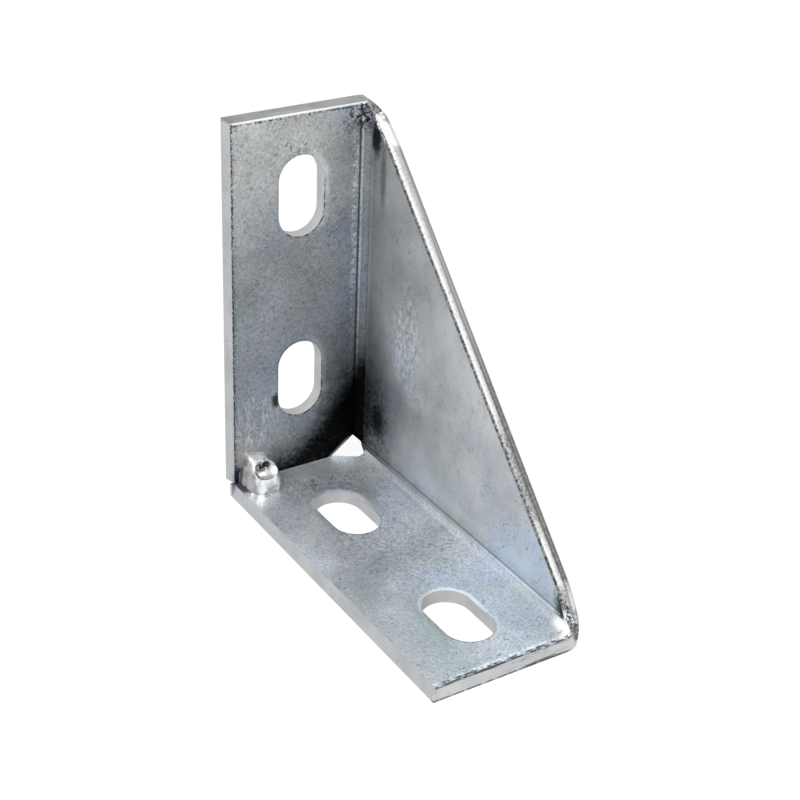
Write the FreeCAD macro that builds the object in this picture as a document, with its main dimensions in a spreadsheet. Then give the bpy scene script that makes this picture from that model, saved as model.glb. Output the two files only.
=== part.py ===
import FreeCAD, Part

import math
import os

import Sketcher

# A strut angle fitting. One sheet is blanked, punched and folded twice. The gusset
# stands on the +X side, the back flange has its outer face at y = 0, and the base
# flange runs towards -Y with its underside at z = 0. The two flanges meet at the heel,
# and one tack weld in the inside corner ties them together near the free edges.

# Driving dimensions in millimetres
DIMENSIONS = (
    ("strut_width", 41.3, "width of both flanges, which is that of the strut"),
    ("back_height", 101.0, "underside of the base flange to the top of the back flange"),
    ("base_length", 98.0, "outer face of the back flange to the front of the base flange"),
    ("sheet", 3.5, "thickness of the sheet"),
    ("bend_radius", 2.5, "inside radius of both bends"),
    ("slot_width", 12.5, "width of each bolt slot"),
    ("slot_length", 21.0, "length of each bolt slot over its round ends"),
    ("slot_spacing", 50.0, "centre to centre of the two slots of a flange"),
    ("back_slot_drop", 21.0, "top of the back flange to the centre of its upper slot"),
    ("base_slot_margin", 19.2, "front of the base flange to the centre of its outer slot"),
    ("slope_start", 3.1, "outer face of the back to the slope, carried up to the top"),
    ("slope_end", 4.4, "underside of the base to the slope, carried out to the front"),
    ("slope_ease", 10.0, "stretch at either end over which the slope curves down"),
    ("top_drop", 1.1, "how far the slope has curved down where the back's bend starts"),
    ("toe_drop", 2.0, "how far the slope has curved in where the base's bend starts"),
    ("heel_step", 2.4, "outer face of the back to the rear end of the base flange"),
    ("heel_gap", 0.3, "open seam between the back's lower end and the base flange"),
    ("relief_width", 6.6, "start of the bends to the relief notch's corner in the flanges"),
    ("relief_rise", 8.7, "underside of the base to the top of the notch in the back"),
    ("relief_reach", 6.5, "outer face of the back to the front of the notch in the base"),
    ("relief_lip", 3.8, "start of the bends to the notch's far side in the round corner"),
    ("relief_shoulder", 4.6, "underside of the base to where the notch's far side slopes"),
    ("edge_lean", 0.8, "how far the sheared edges lean out, from inside to outside face"),
    ("edge_land", 0.3, "square land that the lean leaves by the outside face"),
    ("burr_bevel", 0.5, "bevel along the inside edge of the slope"),
    ("weld_setback", 6.3, "free edge of the flanges to the middle of the tack weld"),
    ("weld_length", 8.0, "length of the tack weld along the heel"),
    ("weld_leg", 8.6, "reach of the tack weld along each flange"),
    ("weld_end", 3.0, "stretch at each end over which the weld rounds off"),
    ("skirt_width", 1.2, "how far the weld's skirt reaches past the bead at each end"),
    ("skirt_leg", 6.6, "reach of the skirt along each flange"),
    ("crater_radius", 2.7, "radius of the crater where the arc was broken off"),
    ("crater_depth", 1.6, "depth of the crater"),
)

# Sizes that follow from the driving ones
DERIVED = (
    ("outer_radius", "=bend_radius + sheet", "outside radius of both bends"),
    ("outer_height", "=back_height + edge_lean", "top of the back's outside face"),
    ("outer_length", "=base_length + edge_lean", "front of the base's outside face"),
    ("slot_setback", "=(strut_width - sheet) / 2", "free edge to the slots' centre line"),
    ("slot_half", "=(slot_length - slot_width) / 2", "slot centre to an end's centre"),
    ("back_slot_height", "=back_height - back_slot_drop - slot_spacing",
     "underside of the base to the centre of the lower back slot"),
    ("base_slot_reach", "=base_length - base_slot_margin - slot_spacing",
     "outer face of the back to the centre of the inner base slot"),
    ("back_foot", "=sheet + heel_gap", "height of the back flange's lower end"),
    ("bend_end", "=strut_width - outer_radius", "free edge to where the bends start"),
    ("web_inside", "=strut_width - sheet", "free edge to the gusset's inside face"),
    ("crater_ball", "=(crater_radius ^ 2 + crater_depth ^ 2) / (2 * crater_depth)",
     "radius of the ball that hollows the crater"),
    ("crater_reach", "=(weld_leg - crater_depth + crater_ball) / sqrt(2)",
     "inside corner to the ball's centre, along each flange"),
)

NEAR = 1e-4
SPARE = 5.0
OVERRUN = 1.0
BEND_STEPS = 8
NEUTRAL_SHARE = 0.42


def fill_sheet(doc):
    """Write every size to the sheet once, each under its own alias."""
    sheet = doc.addObject("Spreadsheet::Sheet", "sizes")
    for row, (alias, value, meaning) in enumerate(DIMENSIONS + DERIVED, start=1):
        sheet.set("A%d" % row, alias)
        sheet.set("B%d" % row, str(value))
        sheet.set("C%d" % row, meaning)
        sheet.setAlias("B%d" % row, alias)
    doc.recompute()
    return sheet


def read_sizes(sheet):
    """The sheet's values as plain numbers, for shapes that are worked out in code."""
    return {alias: float(sheet.get(alias)) for alias, _, _ in DIMENSIONS + DERIVED}


def formula(words):
    """Turn plain names of sizes into references to the sheet."""
    names = {alias for alias, _, _ in DIMENSIONS + DERIVED}
    for sign in "+-*/()":
        words = words.replace(sign, " %s " % sign)
    return " ".join("sizes." + word if word in names else word for word in words.split())


def new_sketch(body, name, role, lift=None):
    """Attach a sketch to one of the body's own planes, lifted along its normal."""
    sketch = body.newObject("Sketcher::SketchObject", name)
    planes = [plane for plane in body.Origin.OriginFeatures if plane.Role == role]
    sketch.AttachmentSupport = [(planes[0], "")]
    sketch.MapMode = "FlatFace"
    if lift:
        sketch.setExpression("AttachmentOffset.Base.z", formula(lift))
    return sketch


def worth(sketch, words):
    """What a formula of the sheet comes to now."""
    return float(sketch.evalExpression(formula(words)))


def hold(sketch, words, kind, *places):
    """Add one dimension to a sketch and bind it to a formula of the sheet."""
    constraint = Sketcher.Constraint(kind, *places, worth(sketch, words))
    index = sketch.addConstraint(constraint)
    sketch.setExpression("Constraints[%d]" % index, formula(words))


def pin_point(sketch, geometry, place, across, up):
    """Hold one point of a sketch at two formulas of the sheet."""
    hold(sketch, across, "DistanceX", geometry, place)
    hold(sketch, up, "DistanceY", geometry, place)


def outline(sketch, corners):
    """Draw a closed outline of straight lines whose corners are formulas of the sheet."""
    count = len(corners)
    start = [FreeCAD.Vector(worth(sketch, across), worth(sketch, up), 0)
             for across, up in corners]
    for index in range(count):
        following = start[(index + 1) % count]
        sketch.addGeometry(Part.LineSegment(start[index], following), False)
    for index in range(count):
        following = (index + 1) % count
        sketch.addConstraint(Sketcher.Constraint("Coincident", index, 2, following, 1))
    for index, (across, up) in enumerate(corners):
        pin_point(sketch, index, 1, across, up)


def draw_slot(sketch, across, up):
    """Draw an upright slot with round ends about the centre that two formulas give."""
    low_end, high_end = up + " - slot_half", up + " + slot_half"
    radius = worth(sketch, "slot_width / 2")
    lower = FreeCAD.Vector(worth(sketch, across), worth(sketch, low_end), 0)
    upper = FreeCAD.Vector(lower.x, worth(sketch, high_end), 0)
    side, normal = FreeCAD.Vector(radius, 0, 0), FreeCAD.Vector(0, 0, 1)
    lower_circle = Part.Circle(lower, normal, radius)
    upper_circle = Part.Circle(upper, normal, radius)
    sketch.addGeometry(Part.ArcOfCircle(lower_circle, math.pi, 2 * math.pi), False)
    sketch.addGeometry(Part.LineSegment(lower + side, upper + side), False)
    sketch.addGeometry(Part.ArcOfCircle(upper_circle, 0, math.pi), False)
    sketch.addGeometry(Part.LineSegment(upper - side, lower - side), False)
    for index in range(4):
        following = (index + 1) % 4
        sketch.addConstraint(Sketcher.Constraint("Tangent", index, 2, following, 1))
    sketch.addConstraint(Sketcher.Constraint("Equal", 0, 2))
    pin_point(sketch, 0, 3, across, low_end)
    pin_point(sketch, 2, 3, across, high_end)
    hold(sketch, "slot_width / 2", "Radius", 0)


def draw_quarter_ring(sketch, inner, outer):
    """Draw a quarter of a ring about the sketch's origin, in its first quarter."""
    centre, normal = FreeCAD.Vector(0, 0, 0), FreeCAD.Vector(0, 0, 1)
    small, large = worth(sketch, inner), worth(sketch, outer)
    ends = [FreeCAD.Vector(large, 0, 0), FreeCAD.Vector(0, large, 0),
            FreeCAD.Vector(0, small, 0), FreeCAD.Vector(small, 0, 0)]
    large_circle = Part.Circle(centre, normal, large)
    small_circle = Part.Circle(centre, normal, small)
    sketch.addGeometry(Part.ArcOfCircle(large_circle, 0, math.pi / 2), False)
    sketch.addGeometry(Part.LineSegment(ends[1], ends[2]), False)
    sketch.addGeometry(Part.ArcOfCircle(small_circle, 0, math.pi / 2), False)
    sketch.addGeometry(Part.LineSegment(ends[3], ends[0]), False)
    for first, first_end, second, second_end in (
            (0, 2, 1, 1), (1, 2, 2, 2), (2, 1, 3, 1), (3, 2, 0, 1), (0, 3, 2, 3)):
        sketch.addConstraint(Sketcher.Constraint(
            "Coincident", first, first_end, second, second_end))
    sketch.addConstraint(Sketcher.Constraint("Coincident", 0, 3, -1, 1))
    sketch.addConstraint(Sketcher.Constraint("Horizontal", 3))
    sketch.addConstraint(Sketcher.Constraint("Vertical", 1))
    sketch.addConstraint(Sketcher.Constraint("PointOnObject", 0, 1, -1))
    sketch.addConstraint(Sketcher.Constraint("PointOnObject", 0, 2, -2))
    hold(sketch, outer, "Radius", 0)
    hold(sketch, inner, "Radius", 2)


def cut_notch(body, name, role, depth, corners):
    """Cut an outline of corners into the body, from an outer face inwards."""
    sketch = new_sketch(body, name + "_outline", role)
    outline(sketch, corners)
    feature = body.newObject("PartDesign::Pocket", name)
    feature.Profile = sketch
    feature.Reversed = True
    feature.setExpression("Length", formula(depth))
    body.Document.recompute()
    return feature


def pad(body, name, role, lift, length, corners):
    """Pad an outline of corners from one of the body's planes."""
    sketch = new_sketch(body, name + "_outline", role, lift)
    outline(sketch, corners)
    feature = body.newObject("PartDesign::Pad", name)
    feature.Profile = sketch
    feature.setExpression("Length", formula(length))
    return feature


def cut_through(body, sketch, name):
    """Cut a sketch right through the body, both ways from its plane."""
    feature = body.newObject("PartDesign::Pocket", name)
    feature.Profile = sketch
    feature.Type = "ThroughAll"
    feature.Midplane = True
    body.Document.recompute()
    return feature


def repeat_slot(body, feature, sketch, axis, reverse):
    """Add the second slot of a flange one spacing further on."""
    pattern = body.newObject("PartDesign::LinearPattern", feature.Name + "_pair")
    pattern.Originals = [feature]
    pattern.Direction = (sketch, [axis])
    pattern.Reversed = reverse
    pattern.setExpression("Length", formula("slot_spacing"))
    pattern.Occurrences = 2
    body.Tip = pattern
    body.Document.recompute()
    return pattern


def edges_where(shape, test):
    """Names of the edges of a shape whose two ends and middle pass a test."""
    names = []
    for number, edge in enumerate(shape.Edges, start=1):
        middle = edge.valueAt((edge.FirstParameter + edge.LastParameter) / 2)
        places = [vertex.Point for vertex in edge.Vertexes] + [middle]
        if all(test(place) for place in places):
            names.append("Edge%d" % number)
    return names


def round_edges(body, name, radius, test):
    """Round the edges that pass a test, as the sheet's bends are."""
    base = body.Tip
    feature = body.newObject("PartDesign::Fillet", name)
    feature.Base = (base, edges_where(base.Shape, test))
    feature.setExpression("Radius", formula(radius))
    body.Document.recompute()
    return feature


def near(value, target):
    return abs(value - target) < NEAR


def lean_edge(body, name, role, lift, reverse, corners):
    """Cut a sheared edge aslant, from a land by the outside face to the inside face."""
    sketch = new_sketch(body, name + "_outline", role, lift)
    body.Document.recompute()
    outline(sketch, corners)
    feature = body.newObject("PartDesign::Pocket", name)
    feature.Profile = sketch
    feature.Type = "ThroughAll"
    feature.Reversed = reverse
    body.Document.recompute()
    return feature


def lean_edges(body):
    """The four free edges of the two flanges."""
    lean_edge(body, "back_free_edge", "XY_Plane", "sheet", True, (
        ("-edge_lean", "-edge_land"), ("0 * sheet", "-sheet"), ("0 * sheet", "-2 * sheet"),
        ("-2 * edge_lean", "-2 * sheet"), ("-2 * edge_lean", "-edge_land")))
    lean_edge(body, "base_free_edge", "XZ_Plane", "sheet", True, (
        ("-edge_lean", "edge_land"), ("0 * sheet", "sheet"), ("0 * sheet", "2 * sheet"),
        ("-2 * edge_lean", "2 * sheet"), ("-2 * edge_lean", "edge_land")))
    lean_edge(body, "back_top_edge", "YZ_Plane", "-edge_lean", True, (
        ("-edge_land", "outer_height"), ("-sheet", "back_height"),
        ("-2 * sheet", "back_height"), ("-2 * sheet", "outer_height + edge_lean"),
        ("-edge_land", "outer_height + edge_lean")))
    lean_edge(body, "base_front_edge", "YZ_Plane", "-edge_lean", True, (
        ("-outer_length", "edge_land"), ("-base_length", "sheet"),
        ("-base_length", "2 * sheet"), ("-outer_length - edge_lean", "2 * sheet"),
        ("-outer_length - edge_lean", "edge_land")))


def build_sheet_body(doc, size):
    """The folded sheet before its slope is cut: gusset, two flanges, bends, slots."""
    body = doc.addObject("PartDesign::Body", "folded_sheet")
    pad(body, "gusset", "YZ_Plane", "web_inside", "sheet", (
        ("0 * sheet", "outer_radius"), ("0 * sheet", "outer_height"),
        ("-outer_length", "outer_height"), ("-outer_length", "0 * sheet"),
        ("-outer_radius", "0 * sheet"), ("-outer_radius", "outer_radius")))
    pad(body, "back_flange", "XZ_Plane", "0 * sheet", "sheet", (
        ("-edge_lean", "back_foot"), ("bend_end", "back_foot"),
        ("bend_end", "outer_radius"), ("strut_width", "outer_radius"),
        ("strut_width", "outer_height"), ("-edge_lean", "outer_height")))
    pad(body, "base_flange", "XY_Plane", "0 * sheet", "sheet", (
        ("-edge_lean", "-heel_step"), ("bend_end", "-heel_step"),
        ("bend_end", "-outer_radius"), ("strut_width", "-outer_radius"),
        ("strut_width", "-outer_length"), ("-edge_lean", "-outer_length")))
    doc.recompute()

    width, inside, thick = size["strut_width"], size["web_inside"], size["sheet"]
    round_edges(body, "back_bend_outside", "outer_radius",
                lambda p: near(p.x, width) and near(p.y, 0))
    round_edges(body, "base_bend_outside", "outer_radius",
                lambda p: near(p.x, width) and near(p.z, 0))
    round_edges(body, "back_bend_inside", "bend_radius",
                lambda p: near(p.x, inside) and near(p.y, -thick))
    round_edges(body, "base_bend_inside", "bend_radius",
                lambda p: near(p.x, inside) and near(p.z, thick))

    ring = new_sketch(body, "corner_outline", "XY_Plane", "outer_radius")
    ring.setExpression("AttachmentOffset.Base.x", formula("bend_end"))
    ring.setExpression("AttachmentOffset.Base.y", formula("-outer_radius"))
    doc.recompute()
    draw_quarter_ring(ring, "bend_radius", "outer_radius")
    corner = body.newObject("PartDesign::Revolution", "round_corner")
    corner.Profile = ring
    corner.ReferenceAxis = (ring, ["H_Axis"])
    corner.Angle = 90
    corner.Reversed = True
    doc.recompute()
    cut_notch(body, "back_relief", "XZ_Plane", "relief_reach", (
        ("bend_end - relief_width", "sheet"), ("bend_end - relief_width", "back_foot"),
        ("bend_end", "relief_rise"), ("bend_end + relief_lip", "relief_shoulder"),
        ("bend_end + relief_lip", "sheet")))
    cut_notch(body, "base_relief", "XY_Plane", "sheet", (
        ("bend_end - relief_width", "-heel_step"), ("bend_end", "-relief_reach"),
        ("bend_end + relief_lip", "-relief_reach"), ("bend_end + relief_lip", "sheet"),
        ("bend_end - relief_width", "sheet")))

    lean_edges(body)
    back_slot = new_sketch(body, "back_slot_outline", "XZ_Plane")
    draw_slot(back_slot, "slot_setback", "back_slot_height")
    lower = cut_through(body, back_slot, "back_slot")
    repeat_slot(body, lower, back_slot, "V_Axis", False)
    base_slot = new_sketch(body, "base_slot_outline", "XY_Plane")
    draw_slot(base_slot, "slot_setback", "-base_slot_reach")
    inner = cut_through(body, base_slot, "base_slot")
    repeat_slot(body, inner, base_slot, "V_Axis", True)
    return body


def slope_curve(size):
    """The slope on the gusset as (y, z) points: straight, and eased at both ends."""
    height, length, radius = size["back_height"], size["base_length"], size["outer_radius"]
    run = length - size["slope_start"]
    fall = height - size["slope_end"]
    steepness = fall / run
    along = FreeCAD.Vector(0, -1, -steepness).normalize()
    top = FreeCAD.Vector(0, -radius, height - (radius - size["slope_start"]) * steepness)
    toe = FreeCAD.Vector(0, -length + (radius - size["slope_end"]) / steepness, radius)
    ease = size["slope_ease"]
    top_tangent = top + along * ease
    toe_tangent = toe - along * ease
    top_end = top - FreeCAD.Vector(0, 0, size["top_drop"])
    toe_end = toe + FreeCAD.Vector(0, size["toe_drop"], 0)
    return top_end, top_tangent, toe_tangent, toe_end


def arc_leaving(start, direction, end):
    """An arc that leaves a point in a direction and passes through another point."""
    chord = end - start
    across = chord - direction * chord.dot(direction)
    across.normalize()
    radius = chord.dot(chord) / (2 * chord.dot(across))
    centre = start + across * radius
    middle = (start + end) * 0.5 - centre
    middle.normalize()
    return Part.Arc(start, centre + middle * radius, end).toShape()


def gusset_cutter(size):
    """What the slope removes from the flat of the gusset."""
    top_end, top_tangent, toe_tangent, toe_end = slope_curve(size)
    along = (toe_tangent - top_tangent).normalize()
    beyond_top = FreeCAD.Vector(0, top_end.y, size["back_height"] + SPARE)
    beyond_both = FreeCAD.Vector(0, -size["base_length"] - SPARE, beyond_top.z)
    beyond_toe = FreeCAD.Vector(0, beyond_both.y, toe_end.z)
    corners = (toe_end, beyond_toe, beyond_both, beyond_top, top_end)
    edges = [arc_leaving(top_tangent, along * -1, top_end),
             Part.LineSegment(top_tangent, toe_tangent).toShape(),
             arc_leaving(toe_tangent, along, toe_end)]
    for first, second in zip(corners, corners[1:]):
        edges.append(Part.LineSegment(first, second).toShape())
    face = Part.Face(Part.Wire(Part.__sortEdges__(edges)))
    face.translate(FreeCAD.Vector(size["web_inside"] - SPARE, 0, 0))
    return face.extrude(FreeCAD.Vector(size["sheet"] + 2 * SPARE, 0, 0))


def bend_cutter(size, start, limit):
    """What the slope removes from a bend, as the cut runs on through the flat blank.

    The section planes turn about the bend's axis. In each one the cut is square to the
    sheet, and it climbs by as much as the sheet's middle layer has travelled. The bend
    stands along Z here, with the gusset's end at angle 0 and the flange's at 90.
    """
    neutral = size["bend_radius"] + NEUTRAL_SHARE * size["sheet"]
    last = min(math.pi / 2, (limit - start + OVERRUN) / neutral)
    inner, outer = size["bend_radius"] / 2, size["outer_radius"] + SPARE
    wires = []
    for step in range(BEND_STEPS + 1):
        angle = last * step / BEND_STEPS
        outward = FreeCAD.Vector(math.cos(angle), math.sin(angle), 0)
        low = start + neutral * angle
        corners = [outward * inner + FreeCAD.Vector(0, 0, low),
                   outward * outer + FreeCAD.Vector(0, 0, low),
                   outward * outer + FreeCAD.Vector(0, 0, limit + SPARE),
                   outward * inner + FreeCAD.Vector(0, 0, limit + SPARE)]
        wires.append(Part.makePolygon(corners + corners[:1]))
    return Part.makeLoft(wires, True, True)


def place_cutters(size):
    """All that the slope removes, with each bend's share turned to its place."""
    top_end, _, _, toe_end = slope_curve(size)
    axis_x, radius = size["bend_end"], size["outer_radius"]
    top = bend_cutter(size, top_end.z, size["outer_height"])
    top.translate(FreeCAD.Vector(axis_x, -radius, 0))
    toe = bend_cutter(size, -toe_end.y, size["outer_length"])
    toe.rotate(FreeCAD.Vector(0, 0, 0), FreeCAD.Vector(1, 0, 0), 90)
    toe = toe.mirror(FreeCAD.Vector(0, 0, 0), FreeCAD.Vector(0, 0, 1))
    toe.translate(FreeCAD.Vector(axis_x, 0, radius))
    return gusset_cutter(size), top, toe


def add_shape(doc, name, shape):
    feature = doc.addObject("Part::Feature", name)
    feature.Shape = shape
    return feature


def slope_edges(shape, size):
    """The straight inside edge of the slope, which carries the burr bevel."""
    _, top_tangent, toe_tangent, _ = slope_curve(size)

    def on_slope(p):
        high_enough = toe_tangent.z - NEAR <= p.z <= top_tangent.z + NEAR
        clear_of_bend = -p.y > size["outer_radius"] + NEAR
        return near(p.x, size["web_inside"]) and high_enough and clear_of_bend

    return edges_where(shape, on_slope)


def build_plate(doc, size):
    """Cut the slope from the folded sheet and bevel its inside edge."""
    body = build_sheet_body(doc, size)
    plate = body
    for name, shape in zip(("gusset", "top", "toe"), place_cutters(size)):
        cut = doc.addObject("Part::Cut", name + "_slope_cut")
        cut.Base = plate
        cut.Tool = add_shape(doc, name + "_slope_cutter", shape)
        plate = cut
    doc.recompute()
    bevel = doc.addObject("Part::Chamfer", "angle_plate")
    bevel.Base = plate
    numbers = [int(name[len("Edge"):]) for name in slope_edges(plate.Shape, size)]
    bevel.Edges = [(number, size["burr_bevel"], size["burr_bevel"]) for number in numbers]
    bevel.Label = "angle_plate"
    doc.recompute()
    return bevel


def round_off(middle, end, crown):
    """A quarter of an ellipse about its middle, between an end and the crown."""
    wide, high = (end - middle).Length, (crown - middle).Length
    first, second = (end, crown) if wide > high else (crown, end)
    ellipse = Part.Ellipse(first, second, middle)
    return Part.ArcOfEllipse(ellipse, 0, math.pi / 2).toShape()


def lump_profile(half_length, end_length, radius):
    """A bead seen along the heel: flat on the X axis, and rounded off at both ends."""
    edges, crowns, feet = [], [], []
    for side in (-1, 1):
        middle = FreeCAD.Vector(side * (half_length - end_length), 0, 0)
        crowns.append(middle + FreeCAD.Vector(0, radius, 0))
        feet.append(FreeCAD.Vector(side * half_length, 0, 0))
        edges.append(round_off(middle, feet[-1], crowns[-1]))
    edges.append(Part.LineSegment(*crowns).toShape())
    edges.append(Part.LineSegment(*feet).toShape())
    return Part.Face(Part.Wire(Part.__sortEdges__(edges)))


def build_lump(size, half_length, radius):
    """A quarter turn of the profile, from the base's top face up to the back's face."""
    face = lump_profile(half_length, size["weld_end"], radius)
    face.rotate(FreeCAD.Vector(0, 0, 0), FreeCAD.Vector(1, 0, 0), 90)
    lump = face.revolve(FreeCAD.Vector(0, 0, 0), FreeCAD.Vector(1, 0, 0), 90)
    lump.translate(FreeCAD.Vector(size["weld_setback"], -size["sheet"], size["sheet"]))
    return lump


def build_weld(doc, size):
    """The tack weld: a short crowned bead with a thin skirt and a crater on its crown."""
    half = size["weld_length"] / 2
    bead = build_lump(size, half, size["weld_leg"])
    skirt = build_lump(size, half + size["skirt_width"], size["skirt_leg"])
    lumps = doc.addObject("Part::MultiFuse", "weld_lumps")
    lumps.Shapes = [add_shape(doc, "weld_bead", bead), add_shape(doc, "weld_skirt", skirt)]
    crater = doc.addObject("Part::Sphere", "weld_crater")
    crater.setExpression("Radius", formula("crater_ball"))
    crater.setExpression("Placement.Base.x", formula("weld_setback"))
    crater.setExpression("Placement.Base.y", formula("-sheet - crater_reach"))
    crater.setExpression("Placement.Base.z", formula("sheet + crater_reach"))
    weld = doc.addObject("Part::Cut", "tack_weld")
    weld.Base = lumps
    weld.Tool = crater
    weld.Label = "tack_weld"
    doc.recompute()
    return weld


def check_document(doc, pieces):
    """Stop if any object failed or any piece is not one sound solid."""
    for item in doc.Objects:
        if "Invalid" in item.State or "Error" in item.State:
            raise RuntimeError("failed object " + item.Name)
    for piece in pieces:
        shape = piece.Shape
        if shape.isNull() or not shape.isValid() or len(shape.Solids) != 1:
            raise RuntimeError("unsound piece " + piece.Label)


def main():
    doc = FreeCAD.newDocument("strut_angle_fitting")
    size = read_sizes(fill_sheet(doc))
    pieces = [build_plate(doc, size), build_weld(doc, size)]
    for piece in pieces:
        piece.setExpression("Placement.Base.x", formula("-slot_setback"))
        piece.setExpression("Placement.Base.y", formula("base_slot_reach + slot_spacing / 2"))
    doc.recompute()
    check_document(doc, pieces)
    os.makedirs("parts", exist_ok=True)
    for piece in pieces:
        piece.Shape.exportStep("parts/%s.step" % piece.Label)
        print(piece.Label, "volume %.1f" % piece.Shape.Volume)


main()
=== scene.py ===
import math

import bpy
from mathutils import Matrix, Vector


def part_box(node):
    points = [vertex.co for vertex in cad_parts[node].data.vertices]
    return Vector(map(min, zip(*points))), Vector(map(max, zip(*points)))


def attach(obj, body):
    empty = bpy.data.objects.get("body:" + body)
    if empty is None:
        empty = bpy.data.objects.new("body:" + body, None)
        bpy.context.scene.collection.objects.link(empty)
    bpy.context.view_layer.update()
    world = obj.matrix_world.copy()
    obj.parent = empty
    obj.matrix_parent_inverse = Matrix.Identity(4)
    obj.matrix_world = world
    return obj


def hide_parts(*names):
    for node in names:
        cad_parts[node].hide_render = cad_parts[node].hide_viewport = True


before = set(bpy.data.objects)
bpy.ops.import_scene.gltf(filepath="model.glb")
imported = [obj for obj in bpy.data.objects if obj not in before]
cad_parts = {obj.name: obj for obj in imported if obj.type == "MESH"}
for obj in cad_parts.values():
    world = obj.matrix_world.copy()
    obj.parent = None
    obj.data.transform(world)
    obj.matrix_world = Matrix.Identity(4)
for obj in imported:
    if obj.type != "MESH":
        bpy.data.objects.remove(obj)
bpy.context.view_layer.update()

MM = 0.001

# Sizes of the fitting, in metres
plate_low, plate_high = (Vector(corner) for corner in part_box("angle_plate"))
weld_low, weld_high = (Vector(corner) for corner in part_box("tack_weld"))
weld_middle = (weld_low + weld_high) / 2
SHEET = weld_low.z
LEAN = 0.8 * MM
FREE_X = plate_low.x + LEAN
FRONT_Y = plate_low.y + LEAN
TOP_Z = plate_high.z - LEAN
GUSSET_X = plate_high.x
INSIDE_X = GUSSET_X - SHEET
INSIDE_Y = plate_high.y - SHEET
SLOT_RADIUS = 6.25 * MM
SLOT_STRAIGHT = 4.25 * MM
BASE_SLOTS = (25 * MM, -25 * MM)
BACK_SLOTS = (80 * MM, 30 * MM)

# Where the marks of the finish and the painted light and shade lie, in millimetres
CORNER = Vector((INSIDE_X, INSIDE_Y, SHEET)) / MM
EDGE = Vector((FREE_X, FRONT_Y, TOP_Z)) / MM
WELD = weld_middle / MM
HEEL_OPENING = (Vector((9.8, 3.5)), Vector((16.4, 8.7)))
# Where the painted deep shade on the back starts, and how it climbs toward the bend
SHADE_START = -8
SHADE_CURVE = 30


def deselect_all():
    for item in bpy.context.selected_objects:
        item.select_set(False)
    bpy.context.view_layer.objects.active = None


def make_active(item):
    deselect_all()
    item.select_set(True)
    bpy.context.view_layer.objects.active = item


# Materials


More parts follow.
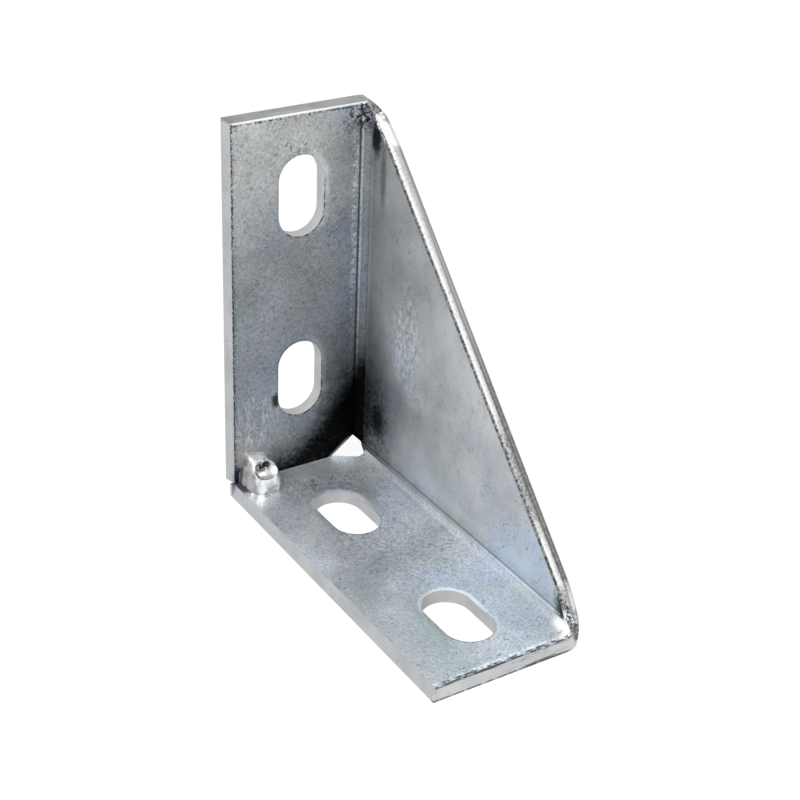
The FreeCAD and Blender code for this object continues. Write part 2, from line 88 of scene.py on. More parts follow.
class Paint:
    """A node material, built up a step at a time for one finish."""

    def __init__(self, name):
        self.material = bpy.data.materials.new(name)
        self.material.use_nodes = True
        self.tree = self.material.node_tree
        self.shader = self.tree.nodes["Principled BSDF"]
        self.place = self.tree.nodes.new("ShaderNodeTexCoord").outputs["Object"]

    def fill(self, node, inputs):
        """Join sockets to a node's inputs, and set the inputs that get plain values."""
        for key, value in inputs:
            if isinstance(value, bpy.types.NodeSocket):
                self.tree.links.new(value, node.inputs[key])
            else:
                node.inputs[key].default_value = value

    def node(self, kind, inputs, **settings):
        made = self.tree.nodes.new(kind)
        for key, value in settings.items():
            setattr(made, key, value)
        self.fill(made, inputs)
        return made

    def stretch(self, scale):
        """Object coordinates, scaled apart for grain that runs one way."""
        made = self.node("ShaderNodeMapping", [("Vector", self.place), ("Scale", scale)])
        return made.outputs["Vector"]

    def noise(self, scale, detail=4.0, rough=0.55, vector=None):
        made = self.node("ShaderNodeTexNoise", [
            ("Vector", vector or self.place), ("Scale", scale), ("Detail", detail),
            ("Roughness", rough)])
        return made.outputs["Fac"]

    def math(self, operation, first, second=0.0):
        made = self.node("ShaderNodeMath", [(0, first), (1, second)], operation=operation)
        return made.outputs["Value"]

    def both(self, first, second):
        """The product of two shares: 1 only where both are."""
        return self.math("MULTIPLY", first, second)

    def apart(self, first, second):
        """How far two values are apart."""
        return self.math("ABSOLUTE", self.math("SUBTRACT", first, second))

    def remap(self, value, low, high, to_low=0.0, to_high=1.0):
        made = self.node("ShaderNodeMapRange", [
            ("Value", value), ("From Min", low), ("From Max", high),
            ("To Min", to_low), ("To Max", to_high)], interpolation_type="SMOOTHSTEP")
        return made.outputs["Result"]

    def mix(self, share, first, second, blend="MIX"):
        made = self.node("ShaderNodeMix", [(0, share), (6, first), (7, second)],
                         data_type="RGBA", blend_type=blend)
        return made.outputs[2]

    def shade(self, color, share, level, blue=0.0):
        """Darken or lighten a color by a level, as far as the share says."""
        return self.mix(share, color, grey(level, blue), blend="MULTIPLY")

    def along(self, axis):
        made = self.node("ShaderNodeSeparateXYZ", [("Vector", self.place)])
        return made.outputs[axis]

    def fade(self, axis, start, end, at_start=0.0, at_end=1.0):
        """A soft step between two places on one axis, in millimetres."""
        return self.remap(self.along(axis), start * MM, end * MM, at_start, at_end)

    def from_spot(self, spot, scale):
        """Distance from a spot on the object, wider along an axis where scale is small."""
        shifted = self.node("ShaderNodeVectorMath", [(0, self.place), (1, spot)],
                            operation="SUBTRACT").outputs["Vector"]
        scaled = self.node("ShaderNodeVectorMath", [(0, shifted), (1, scale)],
                           operation="MULTIPLY").outputs["Vector"]
        made = self.node("ShaderNodeVectorMath", [(0, scaled)], operation="LENGTH")
        return made.outputs["Value"]

    def hairs(self, scale, width=0.014):
        """1 along fine wandering lines, like hair scratches and crackle."""
        away = self.apart(self.noise(scale, detail=3, rough=0.6), 0.5)
        return self.remap(away, width, 0.2 * width)

    def line(self, axis, place, width):
        """1 along a fine line at a place on one axis, in millimetres."""
        away = self.apart(self.along(axis), place * MM)
        return self.remap(away, 0.3 * width * MM, width * MM, 1, 0)

    def dotted(self, axis, place, width, level=0.5, grain=1700):
        """A fine line along one axis that breaks up into dots."""
        broken = self.remap(self.noise(grain, detail=2), level - 0.06, level + 0.06)
        return self.both(self.line(axis, place, width), broken)

    def ragged(self, value, amount, grain=320):
        """A value with noise added, so that what it bounds gets a torn edge."""
        torn = self.math("SUBTRACT", self.noise(grain, detail=5, rough=0.65), 0.5)
        return self.math("ADD", value, self.math("MULTIPLY", torn, 2 * amount))

    def patch(self, place, reach, soft=0.4, torn=0.35, grain=320):
        """1 about a place, 0 past the reach along each axis, all in millimetres."""
        scale = [1 / (value * MM) for value in reach]
        away = self.from_spot([value * MM for value in place], scale)
        return self.remap(self.ragged(away, torn, grain), 1 - soft, 1 + soft, 1, 0)

    def off_slant(self, start, end):
        """Distance from a slanting line across the back, through two places, in metres."""
        run, rise = end - start
        length = math.hypot(run, rise)
        across = self.math("SUBTRACT", self.along("X"), start.x * MM)
        up = self.math("SUBTRACT", self.along("Z"), start.y * MM)
        return self.apart(self.math("MULTIPLY", up, run / length),
                          self.math("MULTIPLY", across, rise / length))

    def past_slot(self, axis, centre):
        """How far outside the rim of one slot a point lies, in metres."""
        run = self.apart(self.along(axis), centre)
        run = self.math("MAXIMUM", self.math("SUBTRACT", run, SLOT_STRAIGHT), 0.0)
        across = self.along("X")
        squares = self.math("ADD", self.math("MULTIPLY", run, run),
                            self.math("MULTIPLY", across, across))
        return self.math("SUBTRACT", self.math("SQRT", squares), SLOT_RADIUS)

    def rim(self, axis, centre, toward, reach):
        """1 at a slot's rim on the side that a direction points to, 0 past the reach."""
        out = self.remap(self.past_slot(axis, centre), 0.0, reach * MM, 1, 0)
        run = self.math("MULTIPLY", self.math("SUBTRACT", self.along(axis), centre),
                        toward[1] / SLOT_RADIUS)
        across = self.math("MULTIPLY", self.along("X"), toward[0] / SLOT_RADIUS)
        return self.both(out, self.remap(self.math("ADD", run, across), 0.1, 0.9))

    def bump(self, height, distance):
        made = self.node("ShaderNodeBump", [("Height", height), ("Distance", distance)])
        return made.outputs["Normal"]

    def finish(self, color, metallic, roughness, normal=None):
        self.fill(self.shader, [("Base Color", color), ("Metallic", metallic),
                                ("Roughness", roughness)])
        if normal is not None:
            self.fill(self.shader, [("Normal", normal)])
        return self.material


def grey(level, blue=0.0):
    """A grey with a cool cast, in linear values."""
    return (level * (1 - blue), level, level * (1 + blue), 1.0)


COOL_CAST = (0.9, 0.97, 1.09, 1)
GREEN_CAST = (0.96, 1.03, 0.97, 1)
BLUE_STAIN = (0.03, 0.03, 0.09, 1)
VIOLET_STAIN = (0.05, 0.045, 0.1, 1)
# Near white: the polish of burnished and pressed metal, and a painted highlight on the sheared
# top edge
POLISH_AND_HIGHLIGHT = grey(0.95)


def rolled(name, dark, light, blue, grainy=0.5):
    """The start of a zinc finish: clouds, fine grain, hair scratches and dark specks."""
    paint = Paint(name)
    clouds = paint.noise(55, detail=6, rough=0.6)
    color = paint.mix(paint.remap(clouds, 0.32, 0.68), grey(dark, blue), grey(light, blue))
    hue = paint.noise(38, detail=3)
    color = paint.mix(paint.remap(hue, 0.5, 0.66, 0.0, 0.7), color, COOL_CAST, "MULTIPLY")
    color = paint.mix(paint.remap(hue, 0.47, 0.34, 0.0, 0.7), color, GREEN_CAST, "MULTIPLY")
    fine = paint.noise(330, detail=6, rough=0.72)
    color = paint.shade(color, paint.remap(fine, 0.54, 0.7, 0.0, 0.5), 0.66)
    color = paint.shade(color, paint.remap(fine, 0.44, 0.3, 0.0, 0.5), 1.2)
    grain = paint.noise(1900, detail=2, rough=0.6)
    color = paint.shade(color, paint.remap(grain, 0.5, 0.72, 0.0, grainy), 0.4)
    color = paint.shade(color, paint.remap(grain, 0.48, 0.3, 0.0, grainy), 1.5)
    specks = paint.remap(paint.noise(1250, detail=3, rough=0.6), 0.62, 0.68)
    speckled = paint.remap(paint.noise(85, detail=4, rough=0.6), 0.46, 0.6, 0.0, 0.75)
    color = paint.shade(color, paint.both(specks, speckled), 0.3)
    scratched = paint.remap(paint.noise(150, detail=3), 0.52, 0.6, 0.0, 0.7)
    color = paint.shade(color, paint.both(paint.hairs(260, 0.012), scratched), 0.35)
    return paint, color, fine


def finish_rolled(paint, color, fine):
    """The end of a zinc finish: how it shines, and its fine relief."""
    roughness = paint.remap(paint.noise(90, detail=4), 0.3, 0.7, 0.34, 0.48)
    paint.shader.inputs["Specular IOR Level"].default_value = 0.1
    return paint.finish(color, 0.82, roughness, paint.bump(fine, 0.05 * MM))


def light_back_slot(paint, color, centre):
    """A painted highlight on the right of a slot's rim, dark specks below it as painted shadow,
    and painted shade on its upper left rim.
    """
    # Painted highlight along the slot's right rim, then painted shadow specks and shade
    lightened = paint.ragged(paint.rim("Z", centre, (1.0, 0.1), 3.0), 0.25, 900)
    color = paint.shade(color, paint.remap(lightened, 0.1, 1.0), 1.45)
    dots = paint.remap(paint.noise(1300, detail=3), 0.42, 0.54)
    color = paint.shade(color, paint.both(paint.rim("Z", centre, (0.7, -0.7), 0.8), dots), 0.12)
    return paint.shade(color, paint.rim("Z", centre, (-0.7, 0.5), 0.8), 0.7)


def light_back_bend(paint, color):
    """Painted highlights and shade where the back runs into its bend: a speckled bright band, a
    dark line, a light line, and shade over the bend.
    """
    highlight_speckle = paint.remap(paint.noise(1500, detail=4, rough=0.7), 0.45, 0.62)
    # Painted highlight: a speckled bright band beside the bend
    band = paint.both(paint.line("X", CORNER.x - 3.7, 1.3), highlight_speckle)
    color = paint.shade(color, paint.both(band, paint.fade("Z", 35, 60, 0.3, 1.0)), 2.1)
    # A painted dark line of shade, a painted light line, and painted shade over the bend
    color = paint.shade(color, paint.line("X", CORNER.x - 2.6, 0.4), 0.3)
    color = paint.shade(color, paint.line("X", CORNER.x - 2.0, 0.4), 1.3)
    return paint.shade(color, paint.fade("X", CORNER.x - 1.9, CORNER.x - 1.5), 0.58)


def shade_back_heel(paint, color):
    """Painted shade in the heel corner: a speckled haze, a patchy shadow, and near-black shade
    that climbs toward the bend.
    """
    specked = paint.remap(paint.noise(1100, detail=5, rough=0.75), 0.4, 0.62, 1.0, 0.8)
    # Painted shade: a speckled haze about the heel corner
    haze = paint.patch((CORNER.x, CORNER.y, 15), (14, 14, 25), soft=0.7, grain=420)
    color = paint.shade(color, paint.both(haze, specked), 0.24)
    patchy = paint.remap(paint.noise(560, detail=6, rough=0.8), 0.38, 0.6, 0.45, 1.0)
    shadow = paint.patch((CORNER.x - 3, CORNER.y, 10), (8, 12, 16), 0.6, torn=0.6, grain=420)
    color = paint.shade(color, paint.both(shadow, patchy), 0.3)
    # Painted deep shade, near black, that climbs toward the bend beside the weld
    across = paint.along("X")
    reach = paint.math("MAXIMUM", paint.math("SUBTRACT", across, SHADE_START * MM), 0.0)
    climb = paint.math("MULTIPLY", paint.math("MULTIPLY", reach, reach), 1 / (SHADE_CURVE * MM))
    above = paint.ragged(paint.math("SUBTRACT", paint.along("Z"), climb), 3 * MM, 620)
    beyond_weld = paint.remap(paint.ragged(across, 1.5 * MM, 620), -10.5 * MM, -6.5 * MM)
    flecked = paint.remap(paint.noise(900, detail=6, rough=0.8), 0.42, 0.66, 1.0, 0.7)
    for high, low, level in ((14.5, 4.5, 0.025), (7.5, 3.0, 0.02)):
        deep_shade = paint.both(paint.remap(above, high * MM, low * MM), beyond_weld)
        color = paint.shade(color, paint.both(deep_shade, flecked), level)
    return color


def mark_heel(paint, color):
    """Brushed metal over the weld, the heel opening's pale rim, and the weld's stain."""
    upright = paint.stretch((1.6, 1.6, 0.4))
    brushed = paint.remap(paint.noise(900, detail=5, rough=0.75, vector=upright), 0.48, 0.62)
    wiped = paint.patch((-13, 50, 21), (6.5, 8, 8), soft=0.6, torn=0.4, grain=300)
    color = paint.shade(color, paint.both(wiped, brushed), 1.55, -0.03)
    chipped = paint.patch((-7.0, 50, 25.2), (1.1, 4, 1.9), soft=0.5, torn=0.8, grain=1300)
    color = paint.shade(color, chipped, 0.12)
    by_opening = paint.patch((11.5, 50, 5.2), (5, 8, 3.4), soft=0.5, torn=0.3, grain=600)
    pale = paint.remap(paint.off_slant(*HEEL_OPENING), 1.1 * MM, 0.2 * MM, 0.0, 0.8)
    color = paint.mix(paint.both(by_opening, pale), color, grey(0.4))
    stain = paint.patch((EDGE.x + 1.2, CORNER.y, 5.0), (1.7, 6, 3.4), torn=0.6, grain=900)
    return paint.mix(stain, color, BLUE_STAIN)


def mark_back_edges(paint, color):
    """Scrapes and a scorch below the top edge, a painted highlight along the top edge, and
    broken lines along both free edges.
    """
    scraped = paint.patch((-2, 50, 91), (6, 8, 5), soft=0.5)
    color = paint.shade(color, paint.both(scraped, paint.hairs(330, 0.02)), 0.3)
    scorched = paint.patch((17.5, 50, 97.6), (5.5, 5, 3.2), soft=0.7, torn=0.9, grain=900)
    specks = paint.remap(paint.noise(1500, detail=3), 0.47, 0.53)
    color = paint.shade(color, paint.both(scorched, specks), 0.05)
    color = paint.shade(color, paint.dotted("X", EDGE.x + 0.1, 0.3, 0.46, grain=2400), 0.08)
    color = paint.shade(color, paint.dotted("X", EDGE.x + 0.5, 0.4, 0.56, grain=2400), 0.4)
    # A painted highlight along the top edge
    color = paint.shade(color, paint.line("Z", EDGE.z, 0.4), 1.9)
    return paint.shade(color, paint.dotted("Z", EDGE.z - 0.6, 0.35, grain=1900), 0.2)


def back_zinc():
    """The back flange: painted lighter at the top, painted shade lower down and beside the
    bend, bluish below, and painted deep shade at the heel by the bend's foot.
    """
    paint, color, fine = rolled("back_zinc", 0.37, 0.48, 0.02)
    # Painted shade from the top down, a low patch a little less blue, and painted light at the
    # top left
    color = paint.shade(color, paint.fade("Z", 85, 62), 0.79, 0.03)
    color = paint.shade(color, paint.patch((-12, 50, 14), (9, 20, 14), soft=0.6), 1.04, -0.05)
    color = paint.shade(color, paint.patch((-13, 50, 92), (14, 20, 18), soft=0.6), 1.26)
    # Painted shade beside the bend, in the inside corner
    shaded_by_bend = paint.both(paint.fade("X", 8, 13), paint.fade("Z", 20, 50, 0.0, 0.5))
    color = paint.shade(color, shaded_by_bend, 0.85, 0.1)
    for centre in BACK_SLOTS:
        color = light_back_slot(paint, color, centre)
    for add_marks in (light_back_bend, shade_back_heel, mark_heel, mark_back_edges):
        color = add_marks(paint, color)
    return finish_rolled(paint, color, fine)


def shade_gusset_heel(paint, color):
    """At the gusset's heel corner: painted shade as a soft shadow, speckled shade and a dark
    foot, and one darker blot.
    """
    shadow = paint.patch((19, 50, 14), (10, 13, 26), soft=0.7, torn=0.3)
    color = paint.shade(color, shadow, 0.4, 0.05)
    # Painted shade, speckled, about the heel corner
    specked = paint.remap(paint.noise(1000, detail=6, rough=0.8), 0.42, 0.58)
    heel_shade = paint.patch((19, 46, 16), (10, 8.5, 13), soft=0.7, torn=0.8, grain=420)
    color = paint.shade(color, paint.both(heel_shade, specked), 0.12, 0.3)
    # A dark foot of painted shade low by the back's bend
    foot = paint.patch((19, 50, 12), (9, 3.5, 16), soft=0.5, torn=0.4, grain=400)
    color = paint.shade(color, foot, 0.4)
    blot = paint.patch((19, 42.2, 15.8), (4, 2.7, 4.2), soft=0.6, torn=0.8, grain=900)
    return paint.shade(color, blot, 0.22, 0.12)


def light_gusset_bend(paint, color):
    """The gusset's foot along the base's bend: a painted glint, a painted dark line, and
    painted shade just above it.
    """
    glint = paint.both(paint.line("Z", CORNER.z + 2.2, 0.5), paint.fade("Y", 10, -20))
    color = paint.shade(color, glint, 1.45)
    # A painted dark line of shade along the bend
    low = paint.both(paint.line("Z", CORNER.z + 2.9, 0.5), paint.fade("Y", -35, 0, 0.5, 0.75))
    color = paint.shade(color, low, 0.4)
    # Painted shade on the strip above the bend
    above = paint.both(paint.fade("Z", 10.5, 6.6), paint.fade("Y", -30, 0, 0.3, 0.6))
    return paint.shade(color, above, 0.72)


def mark_gusset_ends(paint, color):
    """Scorches and a streak at the slope's two ends, and metal pressed bright at the toe."""
    scorch_top = paint.patch((19, 47.0, 92.8), (4, 2.2, 4.4), soft=0.5, torn=0.7, grain=900)
    color = paint.shade(color, scorch_top, 0.04)
    streak = paint.patch((19, 43.5, 84), (4, 1.2, 8), soft=0.6, torn=0.7, grain=700)
    color = paint.shade(color, paint.both(streak, 0.7), 0.3)
    scorch_toe = paint.patch((19, -39.8, 8.6), (4, 3.0, 4.2), soft=0.6, torn=0.9, grain=1100)
    color = paint.shade(color, scorch_toe, 0.05)
    pressed = paint.patch((20, -42.6, 4.6), (5, 2.6, 2.2), soft=0.3, torn=0.2, grain=600)
    return paint.mix(pressed, color, POLISH_AND_HIGHLIGHT)


def gusset_zinc():
    """The gusset: painted lighter toward the toe, with painted shade beside the bend and at the
    heel corner, and scorched ends.
    """
    paint, color, fine = rolled("gusset_zinc", 0.45, 0.57, 0.01, grainy=0.2)
    # Painted light: lighter toward the toe, away from the inside corner
    color = paint.shade(color, paint.fade("Y", 40, 15), 1.14, 0.02)
    color = paint.shade(color, paint.fade("Y", -5, -30), 1.06, 0.03)
    upright = paint.stretch((1, 1, 0.6))
    brushed = paint.remap(paint.noise(800, detail=5, rough=0.7, vector=upright), 0.42, 0.64)
    lightened = paint.patch((19, 31, 45), (5, 6, 13), soft=0.6, torn=0.4, grain=500)
    color = paint.shade(color, paint.both(lightened, brushed), 1.6, -0.02)
    # Painted shade beside the back's bend, in the inside corner
    shaded_by_bend = paint.patch((19, 50, 62), (5, 7, 44), soft=0.6, torn=0.2, grain=300)
    color = paint.shade(color, paint.both(shaded_by_bend, 0.7), 0.6)
    for add_marks in (shade_gusset_heel, light_gusset_bend, mark_gusset_ends):
        color = add_marks(paint, color)
    return finish_rolled(paint, color, fine)


def light_base_slot(paint, color, centre):
    """Painted highlights behind a slot and on its right, and painted shade in front of it and
    on its left.
    """
    for toward, reach, level in (((0.35, 0.95), 1.5, 1.9), ((0.9, 0.1), 1.6, 1.35),
                                 ((0.2, -0.9), 0.6, 0.6), ((-0.8, 0.3), 2.2, 0.78)):
        color = paint.shade(color, paint.rim("Y", centre, toward, reach), level)
    return color


def crackle_base(paint, color):
    """Fine crackle and smudges between the slots and at the rear of the base."""
    crackle = paint.hairs(420, 0.02)
    smudge = paint.remap(paint.noise(1000, detail=4, rough=0.7), 0.5, 0.66)
    middle = paint.patch((2, 4, 3.5), (17, 17, 9), soft=0.6, torn=0.3, grain=200)
    color = paint.shade(color, paint.both(paint.both(middle, crackle), 0.55), 0.45)
    color = paint.shade(color, paint.both(middle, smudge), 0.62)
    rear = paint.patch((2, 38, 3.5), (12, 6, 9), soft=0.6, torn=0.4, grain=300)
    color = paint.shade(color, paint.both(rear, smudge), 0.5, 0.06)
    return paint.shade(color, paint.both(rear, crackle), 0.5)


def mark_base_front(paint, color):
    """Broken lines along the base's front edge."""
    for inset, width, level, grain, tone in (
            (0.7, 1.0, 0.46, 500, 1.5), (0.35, 0.45, 0.5, 700, 0.15),
            (2.4, 0.35, 0.6, 700, 0.4)):
        color = paint.shade(color, paint.dotted("Y", EDGE.y + inset, width, level, grain), tone)
    return color


def base_zinc():
    """The base flange: pale and bluish, with painted light and shade along it and at its slots
    and bend, and a fine crackle between the slots.
    """
    paint, color, fine = rolled("base_zinc", 0.68, 0.86, 0.05, grainy=0.45)
    # Painted light and shade: darker and bluer toward the front, lighter at the rear, less so
    # on the left by the weld
    color = paint.shade(color, paint.fade("Y", 0, -30), 0.9, 0.03)
    color = paint.shade(color, paint.fade("Y", 34, 42), 1.2)
    by_weld = paint.patch((-13, 34, 3.5), (10, 14, 9), soft=0.6, torn=0.3, grain=200)
    color = paint.shade(color, by_weld, 0.77)
    between = paint.patch((0, 4, 3.5), (18, 16, 9), soft=0.6, torn=0.3, grain=200)
    color = paint.shade(color, between, 0.92)
    color = crackle_base(paint, color)
    for centre in BASE_SLOTS:
        color = light_base_slot(paint, color, centre)
    # Painted shade on the bend's fillet
    color = paint.shade(color, paint.fade("X", CORNER.x - 2.6, CORNER.x - 1.4), 0.78)
    pressed = paint.patch((20, -42, 4), (4.5, 4.5, 3), soft=0.3, torn=0.2, grain=600)
    color = paint.mix(pressed, color, POLISH_AND_HIGHLIGHT)
    stain = paint.patch((EDGE.x + 0.8, CORNER.y - 2, 3.5), (1.8, 3.2, 3), torn=0.6, grain=900)
    color = paint.mix(paint.both(stain, 0.85), color, VIOLET_STAIN)
    return finish_rolled(paint, mark_base_front(paint, color), fine)


def outer_zinc():
    """The outside faces, which meet the strut: even and lightly clouded."""
    return finish_rolled(*rolled("outer_zinc", 0.40, 0.50, 0.03, grainy=0.3))


def sheared_steel():
    """Plated sheared edges: pale and even, with fine lines drawn across the sheet, painted
    shade on the top rim, painted light on the front rims, and a painted highlight along the
    top's inner edge.
    """
    paint = Paint("sheared_steel")
    broad = paint.noise(140, detail=3)
    color = paint.mix(paint.remap(broad, 0.3, 0.7), grey(0.41, 0.02), grey(0.48, 0.02))
    fine = paint.noise(600, detail=4, rough=0.6)
    color = paint.shade(color, paint.remap(fine, 0.55, 0.75, 0.0, 0.5), 0.6)
    # Painted shade on the top rim
    top = paint.fade("Z", EDGE.z - 0.05, EDGE.z)
    color = paint.shade(color, top, 0.7)
    # A painted highlight along the top rim's inner edge
    bright = paint.both(top, paint.line("Y", CORNER.y, 0.5))
    color = paint.mix(bright, color, POLISH_AND_HIGHLIGHT)
    # Painted light on the front rims
    front = paint.fade("Y", EDGE.y + 0.05, EDGE.y)
    color = paint.shade(color, front, 1.25)
    drawn = paint.noise(60, detail=5, rough=0.7, vector=paint.stretch((1, 1, 22)))
    color = paint.shade(color, paint.both(front, paint.remap(drawn, 0.56, 0.64)), 0.3)
    lip = paint.dotted("Z", CORNER.z - 0.1, 0.4, level=0.44, grain=800)
    color = paint.shade(color, paint.both(front, lip), 0.12)
    foot = paint.dotted("Z", 0.15, 0.4, level=0.42, grain=700)
    color = paint.shade(color, paint.both(front, foot), 0.2)
    on_back = paint.math("SUBTRACT", paint.fade("Z", 3.6, 5.0), top)
    seam = paint.dotted("Y", CORNER.y, 0.3, level=0.45)
    color = paint.shade(color, paint.both(on_back, seam), 0.1)
    return paint.finish(color, 0.6, 0.42, paint.bump(fine, 0.04 * MM))


def punched_steel():
    """The walls of the slots: smoother and a little paler than the sheared edges."""
    paint = Paint("punched_steel")
    broad = paint.noise(160, detail=3)
    color = paint.mix(paint.remap(broad, 0.3, 0.7), grey(0.42, 0.01), grey(0.5, 0.01))
    return paint.finish(color, 0.45, 0.45)


def burr_line():
    """The torn line that the shears leave along the slope, grey and pitted."""
    paint = Paint("burr_line")
    pits = paint.noise(1500, detail=3, rough=0.6)
    color = paint.mix(paint.remap(pits, 0.4, 0.6), grey(0.34), grey(0.06))
    return paint.finish(color, 0.7, 0.4, paint.bump(pits, 0.1 * MM))


def slope_bands(paint, share, grain):
    """The slope's burnished inner band and duller outer band, with a thin line between."""
    smooth = paint.math("MAXIMUM", paint.fade("Z", 45, 60), paint.fade("Z", 13, 9))
    dull = paint.mix(paint.remap(grain, 0.35, 0.65), grey(0.48), grey(0.24))
    dull = paint.mix(smooth, dull, grey(0.62, 0.02))
    wavy = paint.ragged(share, 0.09, 1100)
    across = paint.math("SUBTRACT", wavy, paint.fade("Z", 62, 88, 0.0, 0.2))
    burnished = paint.remap(across, 0.6, 0.52)
    gap = paint.patch((20, -17, 31), (12, 12.5, 11.5), torn=0.3, grain=300)
    low_gap = paint.patch((20, -38, 9), (12, 3.0, 3.4), soft=0.5, torn=0.6, grain=700)
    kept = paint.math("SUBTRACT", 1.0, paint.math("MAXIMUM", gap, low_gap))
    bright = paint.mix(paint.remap(grain, 0.5, 0.66), POLISH_AND_HIGHLIGHT, grey(0.6))
    torn = paint.mix(paint.remap(grain, 0.42, 0.6), grey(0.6), grey(0.24))
    color = paint.mix(burnished, dull, paint.mix(kept, torn, bright))
    line = paint.remap(paint.apart(across, 0.62), 0.07, 0.02, 0.0, 0.75)
    return paint.shade(color, paint.both(line, paint.fade("Z", 75, 50, 0.25, 1.0)), 0.4)


def slope_metal():
    """The sheared slope: its bands, a pale outer line, a dark inner edge and a scorch."""
    paint = Paint("slope_metal")
    share = paint.fade("X", CORNER.x, GUSSET_X / MM)
    share.node.interpolation_type = "LINEAR"
    grain = paint.noise(1500, detail=4, rough=0.7)
    color = slope_bands(paint, share, grain)
    outer = paint.remap(paint.apart(share, 0.8), 0.12, 0.03, 0.0, 0.6)
    color = paint.shade(color, outer, 1.35)
    inner = paint.remap(paint.ragged(share, 0.06, 1500), 0.1, 0.03)
    color = paint.shade(color, inner, 0.2)
    scorch = paint.patch((19.3, -41, 7.0), (1.7, 2.6, 3.2), soft=0.5, torn=0.8, grain=1300)
    flecks = paint.remap(paint.noise(1600, detail=3), 0.44, 0.52)
    color = paint.shade(color, paint.both(scorch, flecks), 0.05)
    return paint.finish(color, 0.55, 0.34, paint.bump(grain, 0.08 * MM))


def weld_metal():
    """Plated weld metal: bright on the crown, darker at its left flank, painted shade along its
    foot, and dark specks in the crater.
    """
    paint = Paint("weld_metal")
    lumps = paint.noise(330, detail=3, rough=0.55)
    color = paint.mix(paint.remap(lumps, 0.4, 0.6), grey(0.62), grey(0.97))
    flank = paint.remap(paint.ragged(paint.along("X"), 0.8 * MM, 500),
                        (WELD.x - 2.6) * MM, (WELD.x - 3.8) * MM)
    color = paint.shade(color, flank, 0.42)
    # Painted shade along the weld's foot, where it sits on the base
    low = paint.remap(paint.ragged(paint.along("Z"), 0.8 * MM, 700), 4.6 * MM, 3.6 * MM)
    color = paint.shade(color, low, 0.7)
    fine = paint.noise(1300, detail=3)
    color = paint.shade(color, paint.remap(fine, 0.58, 0.66, 0.0, 0.4), 0.5)
    crater = paint.patch((WELD.x, WELD.y - 0.6, WELD.z + 1.9), (2.7, 2.2, 1.4),
                         soft=0.3, torn=0.5, grain=900)
    color = paint.shade(color, paint.both(crater, paint.remap(fine, 0.4, 0.5)), 0.04)
    roughness = paint.remap(lumps, 0.3, 0.7, 0.2, 0.34)
    return paint.finish(color, 0.9, roughness, paint.bump(lumps, 0.12 * MM))


def assign(item, *materials):
    item.data.materials.clear()
    for material in materials:
        item.data.materials.append(material)


# The folded plate and the weld, taken over from the frame

MERGE_DISTANCE = 0.002 * MM
SMOOTH_ANGLE = math.radians(28)
BACK, GUSSET, BASE, SHEARED, PUNCHED, BURR, SLOPE, OUTER = range(8)

# How far a normal has to lean along an axis, and how near a face has to lie
TILTED = 0.35
STEEP = 0.9
FACING_X = 0.92
BEND_END_TILT = 0.6
BEND_END_SIDE = 0.5
SQUARE_CUT = 0.2
NEAR = 0.01 * MM
SLOT_MARGIN = 0.1 * MM
BEND_REACH = 2.6 * MM
HEEL_REACH = 6 * MM

# The weld's surface
WELD_VOXEL = 0.14 * MM
WELD_SOFTENING = 14
LUMP_SIZE = 3.2 * MM
LUMP_DEPTH = 0.5 * MM
WELD_SEAT = 0.25 * MM


def merged_copy(node, name):
    """A copy of one piece with its loose triangles joined up."""
    piece = node.copy()
    piece.data = node.data.copy()
    piece.name = name
    bpy.context.scene.collection.objects.link(piece)
    piece.data.transform(node.matrix_world)
    piece.matrix_world = Matrix.Identity(4)
    make_active(piece)
    bpy.ops.object.mode_set(mode="EDIT")
    bpy.ops.mesh.select_all(action="SELECT")
    bpy.ops.mesh.remove_doubles(threshold=MERGE_DISTANCE)
    bpy.ops.mesh.normals_make_consistent(inside=False)
    bpy.ops.object.mode_set(mode="OBJECT")
    return piece


def is_sheared(centre, normal):
    """Whether a face belongs to the free edges of the flanges."""
    return ((normal.x < -STEEP and centre.x < 0)
            or (normal.z > STEEP and centre.z > TOP_Z - LEAN)
            or (normal.y < -STEEP and centre.y < FRONT_Y + LEAN))


def in_slot(centre, normal):
    """Whether a face belongs to the wall of a slot."""
    if abs(centre.x) > SLOT_RADIUS + SLOT_MARGIN:
        return False
    if centre.y > INSIDE_Y:
        return abs(normal.y) < TILTED and centre.z > SHEET + MM
    return centre.z < SHEET and abs(normal.z) < TILTED


def on_back(centre):
    """Whether an inside face belongs to the back flange and not to the base."""
    above_heel = centre.y - INSIDE_Y > SHEET - centre.z - HEEL_REACH
    return above_heel and centre.y > INSIDE_Y - BEND_REACH


def surface_kind(centre, normal):
    """Which finish the face of the plate at a centre carries."""
    on_web = centre.x > INSIDE_X - NEAR
    faces_out = normal.z > BEND_END_TILT or normal.y < -BEND_END_TILT
    if is_sheared(centre, normal):
        return SHEARED
    if in_slot(centre, normal):
        return PUNCHED
    if on_web and normal.z > TILTED and normal.y < -TILTED:
        return SLOPE if abs(normal.x) < SQUARE_CUT else BURR
    if on_web and faces_out and abs(normal.x) < BEND_END_SIDE:
        return SHEARED
    if max(normal.x, normal.y, -normal.z) > TILTED:
        return OUTER
    if abs(normal.x) > FACING_X:
        return GUSSET
    return BACK if on_back(centre) else BASE


def dress_plate(node):
    """The folded sheet, with a finish for each kind of surface."""
    piece = merged_copy(node, "folded_plate")
    assign(piece, back_zinc(), gusset_zinc(), base_zinc(), sheared_steel(),
           punched_steel(), burr_line(), slope_metal(), outer_zinc())
    for face in piece.data.polygons:
        face.material_index = surface_kind(face.center, face.normal)
    make_active(piece)
    bpy.ops.object.shade_smooth_by_angle(angle=SMOOTH_ANGLE)
    even = piece.modifiers.new("even_normals", "WEIGHTED_NORMAL")
    even.keep_sharp = True
    even.weight = 100
    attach(piece, "root")
    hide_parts("angle_plate")


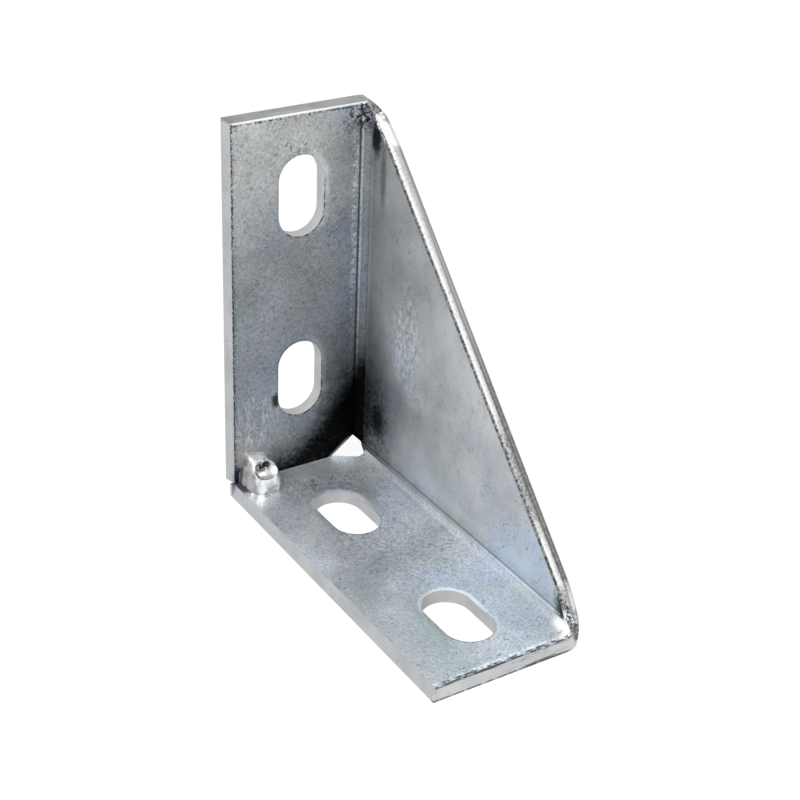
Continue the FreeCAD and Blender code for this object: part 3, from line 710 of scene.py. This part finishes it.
def apply(piece, kind, **settings):
    """Add one modifier to the active piece and apply it."""
    modifier = piece.modifiers.new(kind.lower(), kind)
    for key, value in settings.items():
        setattr(modifier, key, value)
    bpy.ops.object.modifier_apply(modifier=modifier.name)


def dress_weld(node):
    """The tack weld with its lumps worked into the surface."""
    piece = merged_copy(node, "tack_bead")
    make_active(piece)
    apply(piece, "REMESH", mode="VOXEL", voxel_size=WELD_VOXEL)
    half = (weld_high.x - weld_low.x) / 2
    for vertex in piece.data.vertices:
        share = (vertex.co.x - weld_middle.x) / half
        vertex.co.x = weld_middle.x + math.sin(share * math.pi / 2) * half
    apply(piece, "SMOOTH", factor=0.5, iterations=WELD_SOFTENING)
    lumps = bpy.data.textures.new("weld_lumps", "CLOUDS")
    lumps.noise_scale = LUMP_SIZE
    lumps.noise_depth = 1
    apply(piece, "DISPLACE", texture=lumps, texture_coords="LOCAL", mid_level=1.0,
          strength=LUMP_DEPTH)
    piece.data.transform(Matrix.Translation((0, WELD_SEAT, -WELD_SEAT)))
    assign(piece, weld_metal())
    bpy.ops.object.shade_smooth()
    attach(piece, "root")
    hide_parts("tack_weld")


dress_plate(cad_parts["angle_plate"])
dress_weld(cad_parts["tack_weld"])


# Floor, light and camera

FLOOR_SIZE = 6.0
FLOOR_DROP = 0.05 * MM
FLOOR_WHITE = 0.9
FLOOR_GLOW = 1.08
GLOW_SHARE = 0.78
SURROUNDING_LIGHT = 0.6

KEY_PLACE = Vector((-0.5, -0.3, 0.9))
KEY_TARGET = Vector((0, 0, 0.04))
KEY_SIZE = 0.6
KEY_POWER = 8

PHOTO_PIXELS = 800
SENSOR_MM = 36.0
FOCAL_PIXELS = 1656.08
CAMERA_PLACE = Vector((-184.06, -275.99, 231.55)) * MM
CAMERA_AZIMUTH = math.radians(33.396)
CAMERA_DROP = math.radians(28.945)
CAMERA_ROLL = math.radians(2.483)


def pale_floor():
    """A matt pale floor that shows nearly white to the camera and keeps the shadow."""
    bpy.ops.mesh.primitive_plane_add(size=FLOOR_SIZE, location=(0, 0, 0))
    floor = bpy.context.object
    floor.name = "floor"
    floor.data.transform(Matrix.Translation((0, 0, -FLOOR_DROP)))
    material = bpy.data.materials.new("floor_white")
    material.use_nodes = True
    tree = material.node_tree
    shader = tree.nodes["Principled BSDF"]
    shader.inputs["Base Color"].default_value = grey(FLOOR_WHITE)
    shader.inputs["Roughness"].default_value = 1.0
    shader.inputs["Specular IOR Level"].default_value = 0.0
    glow = tree.nodes.new("ShaderNodeEmission")
    glow.inputs["Strength"].default_value = FLOOR_GLOW
    path = tree.nodes.new("ShaderNodeLightPath")
    share = tree.nodes.new("ShaderNodeMath")
    share.operation = "MULTIPLY"
    share.inputs[1].default_value = GLOW_SHARE
    blend = tree.nodes.new("ShaderNodeMixShader")
    output = tree.nodes["Material Output"]
    tree.links.new(path.outputs["Is Camera Ray"], share.inputs[0])
    tree.links.new(share.outputs[0], blend.inputs[0])
    tree.links.new(shader.outputs[0], blend.inputs[1])
    tree.links.new(glow.outputs[0], blend.inputs[2])
    tree.links.new(blend.outputs[0], output.inputs["Surface"])
    floor.data.materials.append(material)


def white_surroundings():
    """White to the camera and in reflections, and a plain grey light on everything."""
    world = bpy.context.scene.world or bpy.data.worlds.new("surroundings")
    bpy.context.scene.world = world
    world.use_nodes = True
    tree = world.node_tree
    background = tree.nodes["Background"]
    path = tree.nodes.new("ShaderNodeLightPath")
    seen = tree.nodes.new("ShaderNodeMath")
    seen.operation = "MAXIMUM"
    tree.links.new(path.outputs["Is Camera Ray"], seen.inputs[0])
    tree.links.new(path.outputs["Is Glossy Ray"], seen.inputs[1])
    strength = tree.nodes.new("ShaderNodeMapRange")
    strength.inputs["To Min"].default_value = SURROUNDING_LIGHT
    strength.inputs["To Max"].default_value = 1.0
    tree.links.new(seen.outputs[0], strength.inputs["Value"])
    tree.links.new(strength.outputs["Result"], background.inputs["Strength"])
    background.inputs["Color"].default_value = (1, 1, 1, 1)


def key_lamp():
    """A soft round lamp above the front left."""
    data = bpy.data.lights.new("key", "AREA")
    data.shape = "DISK"
    data.size = KEY_SIZE
    data.energy = KEY_POWER
    lamp = bpy.data.objects.new("key", data)
    lamp.location = KEY_PLACE
    lamp.rotation_euler = (KEY_TARGET - KEY_PLACE).to_track_quat("-Z", "Y").to_euler()
    bpy.context.scene.collection.objects.link(lamp)


def photo_camera():
    """The camera that was worked out from the photo's edges and slots."""
    data = bpy.data.cameras.new("photo_camera")
    data.sensor_width = SENSOR_MM
    data.lens = FOCAL_PIXELS / PHOTO_PIXELS * SENSOR_MM
    data.clip_start = 0.01
    data.clip_end = 20.0
    camera = bpy.data.objects.new("photo_camera", data)
    aim = (Matrix.Rotation(-CAMERA_AZIMUTH, 4, "Z")
           @ Matrix.Rotation(math.pi / 2 - CAMERA_DROP, 4, "X")
           @ Matrix.Rotation(CAMERA_ROLL, 4, "Z"))
    camera.matrix_world = Matrix.Translation(CAMERA_PLACE) @ aim
    bpy.context.scene.collection.objects.link(camera)
    bpy.context.scene.camera = camera


pale_floor()
white_surroundings()
key_lamp()
photo_camera()

bpy.context.scene.view_settings.view_transform = "Standard"
